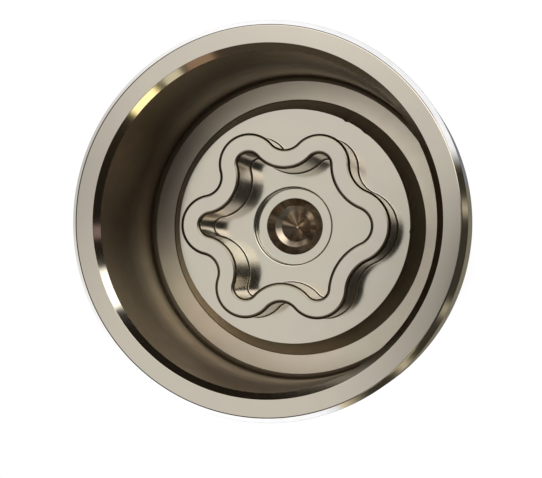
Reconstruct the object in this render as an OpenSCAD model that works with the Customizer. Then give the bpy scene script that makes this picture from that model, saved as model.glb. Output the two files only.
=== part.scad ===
// Key for a locking wheel nut, turned and milled from one piece of steel. The lobed rib
// on the boss enters the matching groove in the nut's head, the deep cup keeps the key
// square on that head, and the two hexagons at the far end take the wheel wrench.
// Millimetres. Origin at the centre of the drive end, +Z along the axis to the mouth.

/* [Drive end] */
// Width across the flats of the end hexagon
end_hex_flats = 19; // [16:0.5:20]
// Length of the end hexagon
end_hex_length = 12; // [8:0.5:16]
// Width across the flats of the second hexagon
main_hex_flats = 21; // [21:0.5:22]
// Length of the second hexagon
main_hex_length = 10; // [6:0.5:14]
// Height of the bevel on the corners of both hexagons
hex_bevel_height = 0.7; // [0.4:0.1:1]
// Slope of that bevel, measured from the end face
hex_bevel_angle = 30; // [20:1:35]

/* [Round body] */
// Diameter where the round body meets the second hexagon
shank_diameter = 25.8; // [25.6:0.1:27]
// Bevel on the round body's back edge
back_bevel = 0.8; // [0.3:0.1:1.2]
// Solid length between the second hexagon and the ledge in the cup
floor_length = 10; // [5:0.5:15]
// Diameter of the straight band at the rim
rim_diameter = 28; // [27.4:0.1:31]
// Height of that band, from which the body tapers back to the shank
rim_band_height = 5; // [1:0.5:8]
// Width of the bevel on the outer edge of the mouth
rim_bevel = 0.4; // [0.2:0.05:0.6]
// Height of that bevel
rim_bevel_height = 0.55; // [0.2:0.05:0.8]

/* [Cup] */
// Thickness of the cup's wall at the rim, which leaves the bore
rim_wall = 2.1; // [1.7:0.05:2.3]
// Depth from the mouth down to the ledge around the boss
cup_depth = 13.4; // [11:0.1:18]
// Bevel on the inner edge of the mouth
mouth_bevel = 0.45; // [0.2:0.05:0.6]
// Radius in the corner between the bore and the ledge
cup_corner_radius = 0.4; // [0.1:0.05:0.5]

/* [Boss] */
// Width of the ledge between the bore and the foot of the boss
ledge_width = 1.9; // [1.4:0.05:2]
// Height of the boss above the ledge
boss_height = 2.2; // [1.5:0.1:3]
// Width of the boss's sloping flank, seen from above
flank_width = 0.95; // [0.6:0.05:1.2]

/* [Centre hole] */
// Diameter of the round spot face in the middle of the boss
spot_diameter = 6.1; // [5.6:0.1:6.4]
// Depth of the spot face
spot_depth = 0.8; // [0.3:0.1:1.5]
// Bevel on the edge of the spot face
spot_bevel = 0.1; // [0.05:0.01:0.15]
// Diameter of the conical centre hole in the spot face
hole_diameter = 4.4; // [3:0.1:4.8]
// Angle of the drill point that made the hole
drill_point_angle = 118; // [90:1:140]

/* [Rib] */
// Height of the rib above the boss
rib_height = 4.6; // [3:0.1:6]
// Width of the rib between its two walls
rib_width = 1.5; // [1:0.05:1.6]
// Radius along the two top edges of the rib
rib_edge_radius = 0.25; // [0.05:0.01:0.3]
// Radius in the two corners at the foot of the rib
rib_foot_radius = 0.12; // [0.1:0.01:0.3]
// Radius of the broad first lobe, along the middle of the rib
broad_lobe_radius = 2.08; // [1.9:0.02:2.2]
// Radius of the other lobes, along the middle of the rib
lobe_radius = 1.55; // [1.45:0.05:1.7]
// Radius of the valley before the broad lobe
valley_before_radius = 3.3; // [2.8:0.1:3.6]
// Radius of the valley after the broad lobe
valley_after_radius = 2.85; // [2.4:0.05:3.2]
// Radius of the other valleys
valley_radius = 2.08; // [1.9:0.02:2.4]

/* [Place of each lobe] */
// Distance from the boss's edge to the centre of the broad lobe
inset_1 = 3.8; // [3.65:0.05:4.05]
// Distance from the boss's edge to the centre of lobe 2
inset_2 = 3.9; // [3.55:0.05:4.05]
// Distance from the boss's edge to the centre of lobe 3
inset_3 = 3.9; // [3.55:0.05:4.05]
// Distance from the boss's edge to the centre of lobe 4
inset_4 = 3.65; // [3.45:0.05:3.95]
// Distance from the boss's edge to the centre of lobe 5
inset_5 = 3.6; // [3.35:0.05:3.85]
// Distance from the boss's edge to the centre of lobe 6
inset_6 = 3.65; // [3.45:0.05:3.85]

/* [Turn of each lobe from even spacing] */
// Turn of the broad lobe, in degrees
turn_angle_1 = -2; // [-4:0.5:0]
// Turn of lobe 2, in degrees
turn_angle_2 = -2.5; // [-4:0.5:0]
// Turn of lobe 3, in degrees
turn_angle_3 = -0.5; // [-2:0.5:2]
// Turn of lobe 4, in degrees
turn_angle_4 = 0.5; // [-2:0.5:2]
// Turn of lobe 5, in degrees
turn_angle_5 = -0.5; // [-2:0.5:2]
// Turn of lobe 6, in degrees
turn_angle_6 = -1; // [-2:0.5:2]

/* [Hidden] */
$fn = 96;

steel = "#b9b2a3";

// Heights along the axis
main_hex_z = end_hex_length;
body_z = main_hex_z + main_hex_length;
ledge_z = body_z + floor_length;
boss_z = ledge_z + boss_height;
mouth_z = ledge_z + cup_depth;

// Radii
shank_r = shank_diameter / 2;
rim_r = rim_diameter / 2;
bore_r = rim_r - rim_wall;
boss_foot_r = bore_r - ledge_width;
boss_r = boss_foot_r - flank_width;
hole_r = hole_diameter / 2;
spot_r = spot_diameter / 2;

// The rib's course: a closed chain of tangent arcs, lobe and valley in turn
insets = [inset_1, inset_2, inset_3, inset_4, inset_5, inset_6];
turn_angles = [turn_angle_1, turn_angle_2, turn_angle_3, turn_angle_4, turn_angle_5, turn_angle_6];
lobes = len(insets);
lobe_radii = [for (i = [0:lobes - 1]) i == 0 ? broad_lobe_radius : lobe_radius];
valley_radii = [for (i = [0:lobes - 1])
    i == 0 ? valley_after_radius : i == lobes - 1 ? valley_before_radius : valley_radius];

// Steps in each rounded corner of a section
corner_steps = 2;
// Degrees from one section of the rib to the next along its arcs
section_angle = 15;
// The foot of the rib starts this far below the boss's top
foot_sink = 0.02;
// The rib's root reaches this far into the boss
root_depth = 0.2;
// The turned core stays this far inside the flats of the smaller hexagon
core_inset = 1.5;

function next(i) = (i + 1) % lobes;
function before(i) = (i + lobes - 1) % lobes;
function bearing(a, b) = atan2(b.y - a.y, b.x - a.x);

function lobe_centre(i) =
    let (a = 360 / lobes * i + turn_angles[i])
    (boss_r - insets[i]) * [cos(a), sin(a)];

// The valley's circle touches the circles of the lobes on both sides from outside
function valley_centre(i) =
    let (
        a = lobe_centre(i),
        b = lobe_centre(next(i)),
        ra = lobe_radii[i] + valley_radii[i],
        rb = lobe_radii[next(i)] + valley_radii[i],
        gap = norm(b - a),
        along = (ra * ra - rb * rb + gap * gap) / (2 * gap),
        out = sqrt(ra * ra - along * along),
        dir = (b - a) / gap
    )
    a + along * dir + out * [dir.y, -dir.x];

// Stations [centre, radius, bearing] along an arc turned by less than a full turn.
// A negative radius is an arc whose centre lies outside the rib.
function stations(centre, radius, from, to) =
    let (
        turn = radius > 0 ? (to - from + 720) % 360 : -((from - to + 720) % 360),
        steps = ceil(abs(turn) / section_angle)
    )
    [for (k = [0:steps - 1]) [centre, radius, from + turn * k / steps]];

// The whole course, lobe by lobe, each followed by its valley
course = [
    for (i = [0:lobes - 1])
        let (lobe = lobe_centre(i), valley = valley_centre(i), last = valley_centre(before(i)))
        each concat(
            stations(lobe, lobe_radii[i], bearing(lobe, last), bearing(lobe, valley)),
            stations(valley, -valley_radii[i], bearing(valley, lobe), bearing(valley, lobe_centre(next(i))))
        )
];

// Points of a quarter circle about (x, y), from angle a0 on
function corner(x, y, r, a0, turn) =
    [for (k = [0:corner_steps]) let (a = a0 + turn * k / corner_steps) [x + r * cos(a), y + r * sin(a)]];

// Section of the rib from its outer foot over the top to its inner foot: [offset, height]
half_width = rib_width / 2;
outer_half = concat(
    [[half_width + rib_foot_radius, -root_depth]],
    corner(half_width + rib_foot_radius, rib_foot_radius - foot_sink, rib_foot_radius, 270, -90),
    corner(half_width - rib_edge_radius, rib_height - rib_edge_radius, rib_edge_radius, 0, 90)
);
section = concat(outer_half, [for (i = [len(outer_half) - 1:-1:0]) [-outer_half[i].x, outer_half[i].y]]);

// Place of a section point at a station; the offset is positive away from the axis
function placed(station, point) =
    let (
        side = station[1] > 0 ? 1 : -1,
        reach = abs(station[1]) + side * point.x
    )
    [
        station[0].x + reach * cos(station[2]),
        station[0].y + reach * sin(station[2]),
        point.y
    ];

// The section swept round the closed course
module rib() {
    n = len(course);
    m = len(section);
    polyhedron(
        points = [for (s = course) for (p = section) placed(s, p)],
        faces = [
            for (i = [0:n - 1])
                for (j = [0:m - 1])
                    let (i2 = (i + 1) % n, j2 = (j + 1) % m)
                    [i * m + j, i * m + j2, i2 * m + j2, i2 * m + j]
        ],
        convexity = 8
    );
}

// Hexagon with its corners bevelled at the lower end
module hexagon(flats, length) {
    corner_r = flats / 2 / cos(30);
    bevel_width = hex_bevel_height / tan(hex_bevel_angle);
    intersection() {
        cylinder(r = corner_r, h = length, $fn = 6);
        rotate_extrude()
            polygon([
                [0, 0],
                [corner_r - bevel_width, 0],
                [corner_r, hex_bevel_height],
                [corner_r, length],
                [0, length]
            ]);
    }
}

// The turned shape: hexagon core, outer wall, mouth, bore, ledge, boss, spot face and centre hole
module turned_cup() {
    spot_z = boss_z - spot_depth;
    hole_depth = hole_r / tan(drill_point_angle / 2);
    core_r = min(end_hex_flats, main_hex_flats) / 2 - core_inset;
    outside = [
        [0, end_hex_length / 2],
        [core_r, end_hex_length / 2],
        [core_r, body_z],
        [shank_r - back_bevel, body_z],
        [shank_r, body_z + back_bevel],
        [rim_r, mouth_z - rim_bevel_height - rim_band_height],
        [rim_r, mouth_z - rim_bevel_height],
        [rim_r - rim_bevel, mouth_z]
    ];
    bore = [
        [bore_r + mouth_bevel, mouth_z],
        [bore_r, mouth_z - mouth_bevel]
    ];
    corner_of_cup = corner(
        bore_r - cup_corner_radius, ledge_z + cup_corner_radius, cup_corner_radius, 0, -90
    );
    boss = [
        [boss_foot_r, ledge_z],
        [boss_r, boss_z],
        [spot_r, boss_z],
        [spot_r - spot_bevel, boss_z - spot_bevel],
        [spot_r - spot_bevel, spot_z],
        [hole_r, spot_z],
        [0, spot_z - hole_depth]
    ];
    rotate_extrude()
        polygon(concat(outside, bore, corner_of_cup, boss));
}

module wheel_nut_key() {
    color(steel) {
        hexagon(end_hex_flats, end_hex_length);
        translate([0, 0, main_hex_z]) hexagon(main_hex_flats, main_hex_length);
        turned_cup();
        translate([0, 0, boss_z]) rib();
    }
}

wheel_nut_key();
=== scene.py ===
import math

import bmesh
import bpy
from mathutils import Matrix, Vector, geometry


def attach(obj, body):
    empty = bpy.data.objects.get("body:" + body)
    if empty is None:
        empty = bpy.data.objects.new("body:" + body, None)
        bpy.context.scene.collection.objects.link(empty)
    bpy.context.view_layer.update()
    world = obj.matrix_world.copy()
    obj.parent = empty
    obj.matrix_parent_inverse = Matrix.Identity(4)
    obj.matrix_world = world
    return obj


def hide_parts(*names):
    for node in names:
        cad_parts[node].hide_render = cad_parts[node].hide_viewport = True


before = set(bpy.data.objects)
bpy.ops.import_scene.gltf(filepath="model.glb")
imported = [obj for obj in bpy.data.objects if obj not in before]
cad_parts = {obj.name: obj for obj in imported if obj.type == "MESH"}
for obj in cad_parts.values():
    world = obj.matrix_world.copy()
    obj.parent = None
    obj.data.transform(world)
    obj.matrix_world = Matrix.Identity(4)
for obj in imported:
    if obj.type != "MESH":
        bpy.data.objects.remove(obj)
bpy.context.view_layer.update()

# The key of a locking wheel nut, which stands on its drive end: a deep round cup with a lobed
# rib on a boss inside, and two wrench hexagons under it. The shapes are worked out in mm and
# written to the meshes in metres.
MM = 0.001

# ---------------------------------------------------------------- sizes, mm
END_FLATS, END_LENGTH = 19.0, 12.0
MAIN_FLATS, MAIN_LENGTH = 21.0, 10.0
HEX_BEVEL, HEX_SLOPE = 0.7, 30.0
SHANK_R, BACK_BEVEL = 12.9, 0.8
FLOOR_LENGTH = 10.0
RIM_R, RIM_BAND, RIM_BEVEL, RIM_BEVEL_H = 14.0, 5.0, 0.4, 0.55
RIM_WALL, CUP_DEPTH, MOUTH_BEVEL, CUP_CORNER = 2.1, 13.4, 0.45, 0.4
LEDGE_WIDTH, BOSS_HEIGHT, FLANK = 1.9, 2.2, 0.95
HOLE_R, DRILL_ANGLE = 2.2, 118.0
SPOT_R, SPOT_BEVEL, SPOT_DEPTH = 3.05, 0.1, 0.8
RIB_H, RIB_W, RIB_EDGE, RIB_FOOT = 4.6, 1.5, 0.25, 0.12
# Six lobes anticlockwise from +X, and the valleys after them: radii, how far the lobes' middles
# lie inside the boss's edge, and their turn from every 60 degrees
LOBE_R = [2.08, 1.55, 1.55, 1.55, 1.55, 1.55]
VALLEY_R = [2.85, 2.08, 2.08, 2.08, 2.08, 3.3]
INSET = [3.8, 3.9, 3.9, 3.65, 3.6, 3.65]
TURN = [-2.0, -2.5, -0.5, 0.5, -0.5, -1.0]

MAIN_Z = END_LENGTH
BODY_Z = MAIN_Z + MAIN_LENGTH
LEDGE_Z = BODY_Z + FLOOR_LENGTH
BOSS_Z = LEDGE_Z + BOSS_HEIGHT
SPOT_Z = BOSS_Z - SPOT_DEPTH
MOUTH_Z = LEDGE_Z + CUP_DEPTH
BORE_R = RIM_R - RIM_WALL
BOSS_FOOT_R = BORE_R - LEDGE_WIDTH
BOSS_R = BOSS_FOOT_R - FLANK

# Roundings of the edges, too fine to be sizes of the CAD model
BACK_EASE, TAPER_EASE, BAND_EASE, RIM_EASE = 0.08, 0.5, 0.05, 0.12
MOUTH_EASE, BOSS_FOOT_EASE, BOSS_EASE = 0.04, 0.08, 0.03
SPOT_EASE, SPOT_WALL_EASE, SPOT_FOOT_EASE, HOLE_EASE = 0.16, 0.06, 0.05, 0.04
HEX_CORNER_BREAK, HEX_END_EASE, HEX_END_RING, HEX_BEVEL_OVER = 0.08, 0.004, 0.03, 0.02
# The drilled cone's outer steps (radius, depth under the spot face, rounding), and its inner
# rings as shares of the hole's radius
CONE_STEPS = [(1.62, 0.43, 0.3), (1.15, 0.63, 0.5)]
CONE_RINGS = (0.45, 0.3, 0.15, 0.05)
# Nicks in the boss's edge: bearing in degrees, half width in radians, depth
NICKS = [(63, 0.018, 0.09), (52, 0.03, 0.05), (-3, 0.012, 0.06)]
NICK_ZONE, NICK_HEIGHT = 0.06, 0.2  # the part of the flank, beside and below the edge

# ---------------------------------------------------------------- fineness
AROUND = 720
AROUND_HOLE = 180
CUP_STEPS, SPOT_STEPS = 4, 6
RIB_SPACING = 0.085
RIB_FOOT_STEPS, RIB_EDGE_STEPS = ((6, 5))
HEX_STEPS, HEX_BEVEL_STEPS = 24, 12
HEX_CORNER_ZONE = 6  # degrees on both sides of a corner that take HEX_STEPS of their own
# Extra points beside each rounding keep the flat next to it flat in the smooth shading
SUPPORT, RIB_SUPPORT, HEX_SUPPORT = 0.012, 0.02, 0.1
# An outline goes on this far past its last corner, only to give that corner its direction
PAST_CORNER = 0.3
# Edges that turn by more than this many degrees stay sharp in the shading
HEAD_SHARP, HEX_SHARP = 24, 28


# ---------------------------------------------------------------- the rib's course
def lobe_centre(i):
    a = math.radians(60 * i + TURN[i])
    return Vector((math.cos(a), math.sin(a))) * (BOSS_R - INSET[i])


def valley_centre(i):
    """The middle of the arc that touches two neighbouring lobes from outside."""
    a, b = lobe_centre(i), lobe_centre((i + 1) % 6)
    ra, rb = LOBE_R[i] + VALLEY_R[i], LOBE_R[(i + 1) % 6] + VALLEY_R[i]
    gap = (b - a).length
    along = (ra * ra - rb * rb + gap * gap) / (2 * gap)
    out = math.sqrt(ra * ra - along * along)
    d = (b - a) / gap
    return a + d * along + Vector((d.y, -d.x)) * out


def bearing(a, b):
    return math.degrees(math.atan2(b.y - a.y, b.x - a.x))


def course(spacing):
    """Stations (centre, radius, bearing) along the rib; a valley's radius is negative."""
    out = []
    for i in range(6):
        lobe, valley = lobe_centre(i), valley_centre(i)
        before, after = valley_centre((i + 5) % 6), lobe_centre((i + 1) % 6)
        for c, r, a0, a1 in (
            (lobe, LOBE_R[i], bearing(lobe, before), bearing(lobe, valley)),
            (valley, -VALLEY_R[i], bearing(valley, lobe), bearing(valley, after)),
        ):
            turn = (a1 - a0) % 360 if r > 0 else -((a0 - a1) % 360)
            n = max(6, round(abs(math.radians(turn)) * abs(r) / spacing))
            out += [(c, r, math.radians(a0 + turn * k / n)) for k in range(n)]
    return out


def placed(station, offset):
    """A station's point, moved outwards from the rib's middle line by an offset."""
    c, r, a = station
    reach = abs(r) + (offset if r > 0 else -offset)
    return c.x + reach * math.cos(a), c.y + reach * math.sin(a)


# ---------------------------------------------------------------- outlines and meshes
def arc(x, y, r, a0, a1, n):
    return [
        (x + r * math.cos(math.radians(a0 + (a1 - a0) * k / n)),
         y + r * math.sin(math.radians(a0 + (a1 - a0) * k / n)))
        for k in range(n + 1)
    ]


def eased(points, steps):
    """Rounds each inner corner (x, y, radius) of an open outline, with a support on each side."""
    out = [points[0]]
    for p, q, s in zip(points, points[1:], points[2:]):
        r = q[2]
        a, b, c = Vector(p[:2]), Vector(q[:2]), Vector(s[:2])
        u, v = (a - b).normalized(), (c - b).normalized()
        half = math.acos(max(-1, min(1, u.dot(v)))) / 2
        back = r / math.tan(half)
        m = b + (u + v).normalized() * (r / math.sin(half))
        t0, t1 = b + u * back, b + v * back
        a0 = math.atan2(t0.y - m.y, t0.x - m.x)
        turn = (math.atan2(t1.y - m.y, t1.x - m.x) - a0 + math.pi) % (2 * math.pi) - math.pi
        out.append(tuple(t0 + u * SUPPORT))
        for k in range(steps + 1):
            w = a0 + turn * k / steps
            out.append((m.x + r * math.cos(w), m.y + r * math.sin(w)))
        out.append(tuple(t1 + v * SUPPORT))
    out.append(points[-1])
    return out


def inside(p, ring):
    hit = False
    b = ring[-1]
    for a in ring:
        if (a.y > p.y) != (b.y > p.y) and p.x < (b.x - a.x) * (p.y - a.y) / (b.y - a.y) + a.x:
            hit = not hit
        b = a
    return hit


class Skin:
    """Collects the loops and faces of one closed mesh; its loops are given in mm."""

    def __init__(self):
        self.v, self.f = [], []

    def loop(self, points):
        start = len(self.v)
        self.v += [tuple(c * MM for c in p) for p in points]
        return list(range(start, len(self.v)))

    def band(self, a, b):
        n = len(a)
        self.f += [(a[i], a[(i + 1) % n], b[(i + 1) % n], b[i]) for i in range(n)]

    def chain(self, loops):
        for a, b in zip(loops, loops[1:]):
            self.band(a, b)

    def fan(self, a, tip, flip=False):
        t = self.loop([tip])[0]
        n = len(a)
        for i in range(n):
            e = (a[i], a[(i + 1) % n], t)
            self.f.append(e[::-1] if flip else e)

    def flat(self, outer, inner):
        """Triangles between two loops of one plane that faces up."""
        ids = outer + inner
        pts = [Vector(self.v[i][:2]) / MM for i in ids]
        no, ni = len(outer), len(inner)
        lines = [(i, (i + 1) % no) for i in range(no)]
        lines += [(no + i, no + (i + 1) % ni) for i in range(ni)]
        vs, _, fs, orig, _, _ = geometry.delaunay_2d_cdt(pts, lines, [], 0, 1e-7)
        back = [ids[o[0]] for o in orig]
        for t in fs:
            m = sum((vs[i] for i in t), Vector((0, 0))) / len(t)
            if inside(m, pts[:no]) and not inside(m, pts[no:]):
                self.f.append(tuple(back[i] for i in t))

    def mesh(self, name, sharp):
        """The mesh as an object, with edges over the sharp angle in degrees left unsmoothed."""
        me = bpy.data.meshes.new(name)
        me.from_pydata(self.v, [], self.f)
        bm = bmesh.new()
        bm.from_mesh(me)
        bmesh.ops.recalc_face_normals(bm, faces=bm.faces)
        bad = [e for e in bm.edges if len(e.link_faces) != 2]
        triangles = sum(len(f.verts) - 2 for f in bm.faces)
        print(name, "triangles", triangles, "open edges", len(bad))
        for f in bm.faces:
            f.smooth = True
        bm.to_mesh(me)
        bm.free()
        me.set_sharp_from_angle(angle=math.radians(sharp))
        o = bpy.data.objects.new(name, me)
        bpy.context.scene.collection.objects.link(o)
        return o


def circle(r, z, n=AROUND, ripple=None):
    out = []
    for i in range(n):
        a = 2 * math.pi * i / n
        q = r if ripple is None else ripple(r, a)
        out.append((q * math.cos(a), q * math.sin(a), z))
    return out


def peak(x, centre, width, turn=360):
    """1 at a bearing and 0 away from it; the turn is 360 for degrees and 2 pi for radians."""
    d = (x - centre + turn / 2) % turn - turn / 2
    return math.exp(-(d / width) ** 2)


# ---------------------------------------------------------------- cup, boss and rib
def boss_edge(r, a):
    """The boss's edge with the tiny nicks that the milling cutter left in it."""
    return r - sum(d * peak(a, math.radians(at), w, 2 * math.pi) for at, w, d in NICKS)


def build_head():
    s = Skin()
    profile = eased([
        (0.0, BODY_Z),
        (SHANK_R - BACK_BEVEL, BODY_Z, BACK_EASE),
        (SHANK_R, BODY_Z + BACK_BEVEL, BACK_EASE),
        (RIM_R, MOUTH_Z - RIM_BEVEL_H - RIM_BAND, TAPER_EASE),
        (RIM_R, MOUTH_Z - RIM_BEVEL_H, BAND_EASE),
        (RIM_R - RIM_BEVEL, MOUTH_Z, RIM_EASE),
        (BORE_R + MOUTH_BEVEL, MOUTH_Z, MOUTH_EASE),
        (BORE_R, MOUTH_Z - MOUTH_BEVEL, MOUTH_EASE),
        (BORE_R, LEDGE_Z, CUP_CORNER),
        (BOSS_FOOT_R, LEDGE_Z, BOSS_FOOT_EASE),
        (BOSS_R, BOSS_Z, BOSS_EASE),
        (BOSS_R - PAST_CORNER, BOSS_Z),
    ], CUP_STEPS)[1:-1]
    loops = []
    for r, z in profile:
        on_edge = abs(r - BOSS_R) < NICK_ZONE and z > BOSS_Z - NICK_HEIGHT
        loops.append(s.loop(circle(r, z, ripple=boss_edge if on_edge else None)))
    s.chain(loops)
    s.fan(loops[0], (0, 0, BODY_Z), True)

    # The rib's section, from its outer foot over the top to its inner foot
    half = RIB_W / 2
    foot = arc(half + RIB_FOOT, RIB_FOOT, RIB_FOOT, 270, 180, RIB_FOOT_STEPS)
    edge = arc(half - RIB_EDGE, RIB_H - RIB_EDGE, RIB_EDGE, 0, 90, RIB_EDGE_STEPS)
    side = [(foot[0][0] + SUPPORT, 0.0), *foot]
    side += [(half, RIB_FOOT + RIB_SUPPORT), (half, RIB_H - RIB_EDGE - RIB_SUPPORT)]
    side += [*edge, (half - RIB_EDGE - RIB_SUPPORT, RIB_H)]
    section = side + [(-x, z) for x, z in reversed(side)]
    stations = course(RIB_SPACING)
    ribs = []
    for off, h in section:
        ribs.append(s.loop([(*placed(st, off), BOSS_Z + h) for st in stations]))
    s.chain(ribs)
    s.flat(loops[-1], ribs[0])

    # Spot face and drilled hole
    cone = HOLE_R / math.tan(math.radians(DRILL_ANGLE / 2))
    profile = eased([
        (SPOT_R + PAST_CORNER, BOSS_Z),
        (SPOT_R, BOSS_Z, SPOT_EASE),
        (SPOT_R - SPOT_BEVEL, BOSS_Z - SPOT_BEVEL, SPOT_WALL_EASE),
        (SPOT_R - SPOT_BEVEL, SPOT_Z, SPOT_FOOT_EASE),
        (HOLE_R, SPOT_Z, HOLE_EASE),
        *((r, SPOT_Z - depth, ease) for r, depth, ease in CONE_STEPS),
        (0.0, SPOT_Z - cone),
    ], SPOT_STEPS)[1:-1]
    holes = [s.loop(circle(r, z, AROUND_HOLE)) for r, z in profile]
    for t in CONE_RINGS:
        holes.append(s.loop(circle(HOLE_R * t, SPOT_Z - cone * (1 - t), AROUND_HOLE)))
    s.chain(holes)
    s.fan(holes[-1], (0, 0, SPOT_Z - cone))
    s.flat(ribs[-1], holes[0])
    return s.mesh("key_head", HEAD_SHARP)


# ---------------------------------------------------------------- wrench hexagons
def build_hexagon(name, flats, z0, length):
    s = Skin()
    corner_r = flats / 2 / math.cos(math.radians(30))
    slope = math.tan(math.radians(HEX_SLOPE))
    cone_r = corner_r - HEX_BEVEL / slope

    def reach(a):
        """Distance from the axis to the flats, with their corners just broken."""
        b = (a + math.pi / 6) % (math.pi / 3) - math.pi / 6
        return min(flats / 2 / math.cos(math.pi / 6 - abs(b)), corner_r - HEX_CORNER_BREAK)

    angles = []
    for k in range(6):
        mid = math.radians(60 * k)
        for start, span in (
            (-30, 30 - HEX_CORNER_ZONE),
            (-HEX_CORNER_ZONE, 2 * HEX_CORNER_ZONE),
            (HEX_CORNER_ZONE, 30 - HEX_CORNER_ZONE),
        ):
            angles += [mid + math.radians(start + span * i / HEX_STEPS) for i in range(HEX_STEPS)]
    reaches = [reach(a) for a in angles]

    def ring(z, cap=math.inf):
        """The hexagon's outline at a height, turned down to the radius cap."""
        return s.loop([
            (min(r, cap) * math.cos(a), min(r, cap) * math.sin(a), z)
            for a, r in zip(angles, reaches)
        ])

    # Two rings on the end face keep it flat up to its edge, which is eased by a hair
    loops = [ring(z0, cone_r - 2 * HEX_END_RING), ring(z0, cone_r - HEX_END_RING)]
    loops.append(ring(z0 + HEX_END_EASE, cone_r))
    for k in range(1, HEX_BEVEL_STEPS + 1):
        h = (HEX_BEVEL + HEX_BEVEL_OVER) * k / HEX_BEVEL_STEPS
        loops.append(ring(z0 + h, cone_r + h / slope))
    loops.append(ring(z0 + HEX_BEVEL + HEX_SUPPORT))
    loops.append(ring(z0 + length - HEX_SUPPORT))
    loops.append(ring(z0 + length))
    s.chain(loops)
    s.fan(loops[0], (0, 0, z0), True)
    s.fan(loops[-1], (0, 0, z0 + length))
    return s.mesh(name, HEX_SHARP)


head = build_head()
pieces = [
    head,
    build_hexagon("end_hexagon", END_FLATS, 0.0, END_LENGTH),
    build_hexagon("main_hexagon", MAIN_FLATS, MAIN_Z, MAIN_LENGTH),
]


# ---------------------------------------------------------------- nodes
def empty_tree(owner):
    owner.use_nodes = True
    owner.node_tree.nodes.clear()
    return owner.node_tree


def add(nt, kind, values=None, **props):
    """A new node with its properties, and with constants on the sockets named in values."""
    node = nt.nodes.new(kind)
    for key, value in props.items():
        setattr(node, key, value)
    for socket, value in (values or {}).items():
        node.inputs[socket].default_value = value
    return node


def add_ramp(nt, stops, interpolation="LINEAR"):
    """A colour ramp through stops (position, colour) in rising order."""
    node = add(nt, "ShaderNodeValToRGB")
    node.color_ramp.interpolation = interpolation
    parts = node.color_ramp.elements
    for k, (at, colour) in enumerate(stops):
        part = parts[k] if k < 2 else parts.new(at)
        part.position, part.color = at, (*colour, 1)
    return node


# ---------------------------------------------------------------- plated steel
# The plating's warm white changes a little from place to place: position in the noise, colour
PLATING = [(0.36, (0.70, 0.652, 0.58)), (0.5, (0.72, 0.67, 0.585)), (0.64, (0.705, 0.678, 0.585))]
PLATING_SCALE, ROUGH_SCALE, GRAIN_SCALE = 170.0, 900.0, 1300.0
ROUGH_NOISE = (0.3, 0.7)  # the part of the noise that spreads over the roughness range
GRAIN_STRENGTH = 0.2
ROUND_THE_AXIS = 0.25  # share of a turn that sets the stretch across the turning marks
# Painted shade on the bore's wall, darkest at the ledge and lightest about 3 mm above it: height
# in mm, share of its colour
BORE_PAINTED_SHADE = [(32.4, 0.25), (33.4, 0.5), (34.4, 0.85), (35.6, 1.0), (37.0, 0.85), (39.0, 0.65),
              (44.9, 0.75)]


def steel(name, rough, wave, shade=(1.0, 1.0, 1.0), drawn=0.0, painted_bands=()):
    """Plated steel; drawn is how far the turning marks stretch its reflections."""
    m = bpy.data.materials.new(name)
    nt = empty_tree(m)
    link = nt.links.new
    out = add(nt, "ShaderNodeOutputMaterial")
    bsdf = add(nt, "ShaderNodeBsdfPrincipled", {"Metallic": 1.0})
    link(bsdf.outputs[0], out.inputs["Surface"])
    pos = add(nt, "ShaderNodeTexCoord")

    def noise(scale, detail):
        node = add(nt, "ShaderNodeTexNoise", {"Scale": scale, "Detail": detail})
        link(pos.outputs["Object"], node.inputs["Vector"])
        return node.outputs["Fac"]

    tint = add_ramp(nt, [(at, [c * k for c, k in zip(base, shade)]) for at, base in PLATING])
    link(noise(PLATING_SCALE, 2.0), tint.inputs["Fac"])
    colour = tint.outputs["Color"]
    # Painted shade: the colour is darkened by height, most towards the bore's bottom
    if painted_bands:
        axis = add(nt, "ShaderNodeSeparateXYZ")
        link(pos.outputs["Object"], axis.inputs[0])
        height = add(nt, "ShaderNodeMapRange",
                     {"From Min": LEDGE_Z * MM, "From Max": MOUTH_Z * MM})
        link(axis.outputs["Z"], height.inputs["Value"])
        ramp = add_ramp(nt, [((z - LEDGE_Z) / CUP_DEPTH, (v, v, v)) for z, v in painted_bands], "EASE")
        link(height.outputs["Result"], ramp.inputs["Fac"])
        mix = add(nt, "ShaderNodeMix", data_type="RGBA", blend_type="MULTIPLY")
        mix.inputs[0].default_value = 1.0
        link(colour, mix.inputs[6])
        link(ramp.outputs["Color"], mix.inputs[7])
        colour = mix.outputs[2]
    link(colour, bsdf.inputs["Base Color"])

    spread = add(nt, "ShaderNodeMapRange",
                 {"From Min": ROUGH_NOISE[0], "From Max": ROUGH_NOISE[1],
                  "To Min": rough[0], "To Max": rough[1]})
    link(noise(ROUGH_SCALE, 4.0), spread.inputs["Value"])
    link(spread.outputs["Result"], bsdf.inputs["Roughness"])

    if drawn:
        round_z = add(nt, "ShaderNodeTangent", direction_type="RADIAL", axis="Z")
        link(round_z.outputs["Tangent"], bsdf.inputs["Tangent"])
        bsdf.inputs["Anisotropic"].default_value = drawn
        bsdf.inputs["Anisotropic Rotation"].default_value = ROUND_THE_AXIS

    grain = add(nt, "ShaderNodeBump", {"Strength": GRAIN_STRENGTH, "Distance": wave})
    link(noise(GRAIN_SCALE, 3.0), grain.inputs["Height"])
    link(grain.outputs["Normal"], bsdf.inputs["Normal"])
    return m


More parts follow.
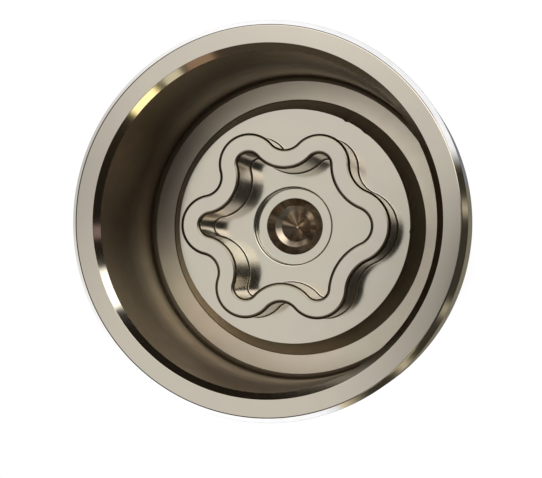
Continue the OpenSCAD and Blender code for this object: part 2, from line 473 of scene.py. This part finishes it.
FINE_WAVE, WAVE = 0.0000005, 0.000001  # depth of the grain, m
FINISHES = [
    steel("milled_and_plated", (0.09, 0.13), FINE_WAVE),
    # The bore's darker, browner colour is painted shade
    steel("bored_plated_painted_shade", (0.34, 0.40), WAVE, (0.56, 0.47, 0.36), 0.9, BORE_PAINTED_SHADE),
    # The ledge's colour is lifted above the plating's, painted light
    steel("turned_plated_painted_light", (0.22, 0.26), WAVE, (1.22, 1.19, 1.16), 0.8),
    steel("side_milled_and_plated", (0.20, 0.26), WAVE, (0.9, 0.87, 0.84)),
    # The rib's rounded edges are darkened, painted shade that draws dark lines along them
    steel("edges_painted_shade", (0.16, 0.22), WAVE, (0.5, 0.47, 0.42)),
    steel("drilled_and_plated", (0.12, 0.18), WAVE, (0.92, 0.82, 0.74), 0.5),
]
MILLED, BORED, TURNED, SIDE_MILLED, EDGES, DRILLED = range(len(FINISHES))
NEAR = 0.01  # mm within which a face counts as lying on a surface
EDGE_LEVEL, WALL_LEVEL = 0.9995, 0.95  # a rounded edge and a wall point less straight up


def finish_of(face):
    """Which finish a face of the head has, from where it lies and how it slopes."""
    c = face.center / MM
    r = math.hypot(c.x, c.y)
    level = abs(face.normal.z)
    top, inner = MOUTH_Z - MOUTH_BEVEL - NEAR, BORE_R - CUP_CORNER
    if inner < r < BORE_R + NEAR and LEDGE_Z - NEAR < c.z < top:
        return BORED
    if BOSS_FOOT_R < r < inner and abs(c.z - LEDGE_Z) < NEAR:
        return TURNED
    if r < HOLE_R and c.z < SPOT_Z - NEAR:
        return DRILLED
    # The rounded edges along the rib's top take the finish with painted shade
    if r < BOSS_R and c.z > BOSS_Z + RIB_H - RIB_EDGE and level < EDGE_LEVEL:
        return EDGES
    if r < BOSS_R and c.z > BOSS_Z + 0.001 and level < WALL_LEVEL:
        return SIDE_MILLED
    return MILLED


for o in pieces:
    for m in FINISHES:
        o.data.materials.append(m)
for f in head.data.polygons:
    f.material_index = finish_of(f)
for o in pieces:
    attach(o, "root")
    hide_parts("wheel_nut_key")

# ---------------------------------------------------------------- light, m and degrees
# The steel mirrors a room whose brightness is worked out point by point on stage meshes that
# the camera doesn't see. What is seen is white: the floor, with the key's shadow, and the world.
LAMP_WHITE, WALL_WARM = (1.0, 0.975, 0.93), (1.0, 0.78, 0.55)
ROOM_R, ROOM_FOOT, ROOM_SPAN, WALL_TOP = 2.5, -2, 91.9, 30
FLOOR_Z = -0.0006
FLOOR_RINGS = [0.01 * k for k in range(2, 26)] + [0.5, 3.0]
# The floor's bright ring: its middle lies right of the key and a little in front of it
RING_R, RING_RIGHT, RING_FRONT, RING_WIDTH = 0.128, 0.057, 0.008, 0.026
SHADOW_REACH = 0.012  # how far from the key the floor still darkens
# The paper's brightness rises from darkest to white as the floor opens up to this share
SHADOW_END, SHADOW_DARKEST, PAPER_WHITE = 0.72, 0.35, 1.02
WINDOW_R, WINDOW_HEIGHT, WINDOW_HALF_HEIGHT = 0.35, 12.5, 9.5
FADE_SIDE, FADE_TOP = 0.72, 0.8  # share of a window's half width and height where it fades


def seen_floor(nt, light):
    """To the camera the floor is white paper with the key's contact shadow, clear from below."""
    link = nt.links.new
    near_key = add(nt, "ShaderNodeAmbientOcclusion", {"Distance": SHADOW_REACH}, samples=16)
    level = add(nt, "ShaderNodeMapRange",
                {"From Max": SHADOW_END, "To Min": SHADOW_DARKEST, "To Max": PAPER_WHITE})
    link(near_key.outputs["AO"], level.inputs["Value"])
    paper = add(nt, "ShaderNodeEmission")
    link(level.outputs["Result"], paper.inputs["Strength"])
    clear = add(nt, "ShaderNodeBsdfTransparent")
    side = add(nt, "ShaderNodeNewGeometry")
    path = add(nt, "ShaderNodeLightPath")
    top = add(nt, "ShaderNodeMixShader")
    link(side.outputs["Backfacing"], top.inputs[0])
    link(paper.outputs[0], top.inputs[1])
    link(clear.outputs[0], top.inputs[2])
    both = add(nt, "ShaderNodeMixShader")
    link(path.outputs["Is Camera Ray"], both.inputs[0])
    link(light.outputs[0], both.inputs[1])
    link(top.outputs[0], both.inputs[2])
    return both


def glow(name, strength_of, points, faces, colour_of=lambda p: LAMP_WHITE, ground=False):
    """A stage mesh that shines by strength and colour at each point; only the ground is seen."""
    me = bpy.data.meshes.new(name)
    me.from_pydata(points, [], faces)
    shine = me.color_attributes.new("glow", "FLOAT_COLOR", "POINT")
    for i, p in enumerate(points):
        k = strength_of(p)
        shine.data[i].color = (*(c * k for c in colour_of(p)), 1)
    m = bpy.data.materials.new(name)
    nt = empty_tree(m)
    out = add(nt, "ShaderNodeOutputMaterial")
    light = add(nt, "ShaderNodeEmission")
    colour = add(nt, "ShaderNodeAttribute", attribute_name="glow")
    nt.links.new(colour.outputs["Color"], light.inputs["Color"])
    surface = seen_floor(nt, light) if ground else light
    nt.links.new(surface.outputs[0], out.inputs["Surface"])
    me.materials.append(m)
    o = bpy.data.objects.new(name, me)
    bpy.context.scene.collection.objects.link(o)
    o.visible_camera = ground


def polar(p):
    """Bearing and height angle of a point, seen from the middle of the mouth."""
    x, y, z = p[0], p[1], p[2] - MOUTH_Z * MM
    return math.degrees(math.atan2(y, x)), math.degrees(math.atan2(z, math.hypot(x, y)))


def soft(x, a, b):
    """Rises smoothly from 0 at a to 1 at b."""
    t = max(0.0, min(1.0, (x - a) / (b - a)))
    return t * t * (3 - 2 * t)


def plateau(x, centre, width):
    """Like peak, with a flatter top and steeper sides."""
    return math.exp(-(abs(x - centre) / width) ** 3)


def grid(rows, cols, wrap=False):
    """The quads between rows + 1 rows of points; with wrap the last column meets the first."""
    n = cols if wrap else cols + 1
    return [(j * n + i, j * n + (i + 1) % n, (j + 1) * n + (i + 1) % n, (j + 1) * n + i)
            for j in range(rows) for i in range(cols)]


def room(p):
    """Dim walls that the windows light up on one side, and a pale patch of ceiling."""
    az, el = polar(p)
    x, y, z = p[0], p[1], max(p[2] - MOUTH_Z * MM, 1e-4)
    from_patch = math.hypot(x / z + 0.05, y / z - 0.08)
    from_gap = math.hypot(x / z - 0.04, y / z + 0.06)
    gap = 0.08 + 0.42 * soft(from_gap, 0.075, 0.12) + 0.5 * soft(from_gap, 0.12, 0.20)
    wide = 1 - peak(az, 168, 24)
    patch = 0.65 * (1 - soft(from_patch, 0.20 + 0.18 * wide, 0.48 + 0.35 * wide)) * gap
    lit_wall = peak(az, 50, 30) + 0.5 * peak(az, 105, 25)
    lit_wall *= soft(el, 18, 50) * (1 - soft(el, 73, 80))
    low = 0.06 * peak(az, -110, 55) * (1 - soft(el, 24, 50))
    high = 0.10 * soft(el, 24, 50) * (1 - 0.85 * peak(az, -30, 35))
    return 0.015 + low + high + patch + 1.5 * lit_wall


def room_colour(p):
    return LAMP_WHITE if polar(p)[1] > WALL_TOP else WALL_WARM


def dome(rows=46, cols=72):
    pts = []
    for j in range(rows + 1):
        el = math.radians(ROOM_FOOT + ROOM_SPAN * j / rows)
        for i in range(cols):
            az = 2 * math.pi * i / cols
            pts.append((ROOM_R * math.cos(el) * math.cos(az),
                        ROOM_R * math.cos(el) * math.sin(az),
                        MOUTH_Z * MM + ROOM_R * math.sin(el)))
    return pts, grid(rows, cols, wrap=True)


def table(p):
    """A grey floor with a bright ring round the key, dark on the right but for three spots."""
    az, _ = polar(p)
    d = math.hypot(p[0], p[1])
    a = math.radians(az)
    middle = RING_R + RING_RIGHT * math.cos(a) - RING_FRONT * math.sin(a)
    ring = plateau(d, middle, RING_WIDTH)
    dark = soft(az, -84, -66) * (1 - soft(az, 19, 27))
    spots = 0.7 * peak(az, 6, 2.5) + 0.7 * peak(az, -52, 3) + 0.6 * peak(az, -29, 2.5)
    bright = (1.6 - 0.9 * peak(az, 165, 35)) * (1 - 0.97 * dark) + spots
    return (0.20 - 0.14 * dark * soft(d, 0.03, 0.06)) * (1 - ring) + bright * ring


def table_colour(p):
    """Warm in the dark part of the ring and cool elsewhere, but for the left."""
    az, _ = polar(p)
    if -78 < az < 22:
        return 1.0, 0.9, 0.68
    k = peak(az, 165, 40)
    return 0.94 + 0.06 * k, 1.0, 1.14 - 0.14 * k


def floor_fan(cols=180):
    """Rings of points that grow apart outwards, and faces that all point up."""
    pts = [(r * math.cos(2 * math.pi * i / cols), r * math.sin(2 * math.pi * i / cols), FLOOR_Z)
           for r in FLOOR_RINGS for i in range(cols)] + [(0, 0, FLOOR_Z)]
    faces = [(d, c, b, a) for a, b, c, d in grid(len(FLOOR_RINGS) - 1, cols, wrap=True)]
    faces += [(len(pts) - 1, i, (i + 1) % cols) for i in range(cols)]
    return pts, faces


def sheet(name, height, corners, strength):
    """A level sheet at a height over the mouth, which the steel mirrors; sizes in mm."""
    z = (MOUTH_Z + height) * MM
    pts = [(x * MM, y * MM, z) for x, y in corners]
    glow(name, lambda p: strength, pts, [tuple(range(len(pts)))])


def window(name, azimuth, half, strength, colour):
    """An upright patch of light with soft ends, low over the mouth's edge."""
    cols, rows, pts, lit = 28, 12, [], {}
    for j in range(rows + 1):
        for i in range(cols + 1):
            u, v = 2 * i / cols - 1, 2 * j / rows - 1
            a = math.radians(azimuth + u * half)
            e = math.radians(WINDOW_HEIGHT + WINDOW_HALF_HEIGHT * v)
            q = (WINDOW_R * math.cos(a) * math.cos(e), WINDOW_R * math.sin(a) * math.cos(e),
                 MOUTH_Z * MM + WINDOW_R * math.sin(e))
            fade = (1 - soft(abs(u), FADE_SIDE, 1.0)), (1 - soft(abs(v), FADE_TOP, 1.0))
            lit[q] = strength * fade[0] * fade[1]
            pts.append(q)
    glow(name, lambda p: lit[p], pts, grid(rows, cols), lambda p: colour)


glow("room", room, *dome(), room_colour)
glow("floor", table, *floor_fan(), table_colour, True)
# What took the photo, which the flat faces mirror, and the dim patch round it
sheet("phone", 95.5, [(9.5, 5), (6.5, -6), (5, -12), (5, -28), (60, -32), (60, 10)], 0.03)
sheet("phone_around", 97, [(12, 10), (12, -36), (90, -40), (90, 14)], 0.15)
# Patches that the bore and the mouth's bevel mirror: bearing, half width, strength, colour
for row in (
    ("window_white", 30, 9.3, 2.4, (1.0, 0.97, 0.90)),
    ("window_yellow", -51.5, 7.6, 1.9, (1.0, 0.86, 0.45)),
    ("window_pale", -66, 4.6, 0.8, (1.0, 0.93, 0.68)),
    ("shelf", -78, 6.5, 0.35, (1.0, 0.66, 0.42)),
    ("lamp", 6.5, 3.0, 0.3, (1.0, 0.72, 0.66)),
):
    window(*row)

# The world: white to the camera, nearly dark to the steel
world = bpy.data.worlds.new("studio")
bpy.context.scene.world = world
wt = empty_tree(world)
world_out = add(wt, "ShaderNodeOutputWorld")
dim = add(wt, "ShaderNodeBackground", {"Color": (0.012, 0.010, 0.007, 1), "Strength": 1.0})
seen = add(wt, "ShaderNodeBackground", {"Color": (1, 1, 1, 1)})
split = add(wt, "ShaderNodeMixShader")
ray = add(wt, "ShaderNodeLightPath")
wt.links.new(ray.outputs["Is Camera Ray"], split.inputs["Fac"])
wt.links.new(dim.outputs[0], split.inputs[1])
wt.links.new(seen.outputs[0], split.inputs[2])
wt.links.new(split.outputs[0], world_out.inputs["Surface"])

# ---------------------------------------------------------------- camera
# Fitted to the photo's round edges: place in mm from the middle of the mouth, and direction
SENSOR, FOCAL_PX, PHOTO_WIDTH_PX = 36.0, 1376.0, 542
CAMERA_PLACE = (19.272, -3.605, MOUTH_Z + 92.955)
CAMERA_TURN = Matrix((
    (0.98029987, 0.00245378, 0.19749972),
    (0.00245378, 0.99969437, -0.02459989),
    (-0.19749972, 0.02459989, 0.97999424),
))
cam_data = bpy.data.cameras.new("camera")
cam_data.sensor_fit = "HORIZONTAL"
cam_data.sensor_width = SENSOR
cam_data.lens = FOCAL_PX / PHOTO_WIDTH_PX * SENSOR
cam_data.clip_start, cam_data.clip_end = 0.001, 20.0
cam = bpy.data.objects.new("camera", cam_data)
bpy.context.scene.collection.objects.link(cam)
cam.matrix_world = Matrix.Translation(Vector(CAMERA_PLACE) * MM) @ CAMERA_TURN.to_4x4()
bpy.context.scene.camera = cam
bpy.context.scene.view_settings.view_transform = "Standard"
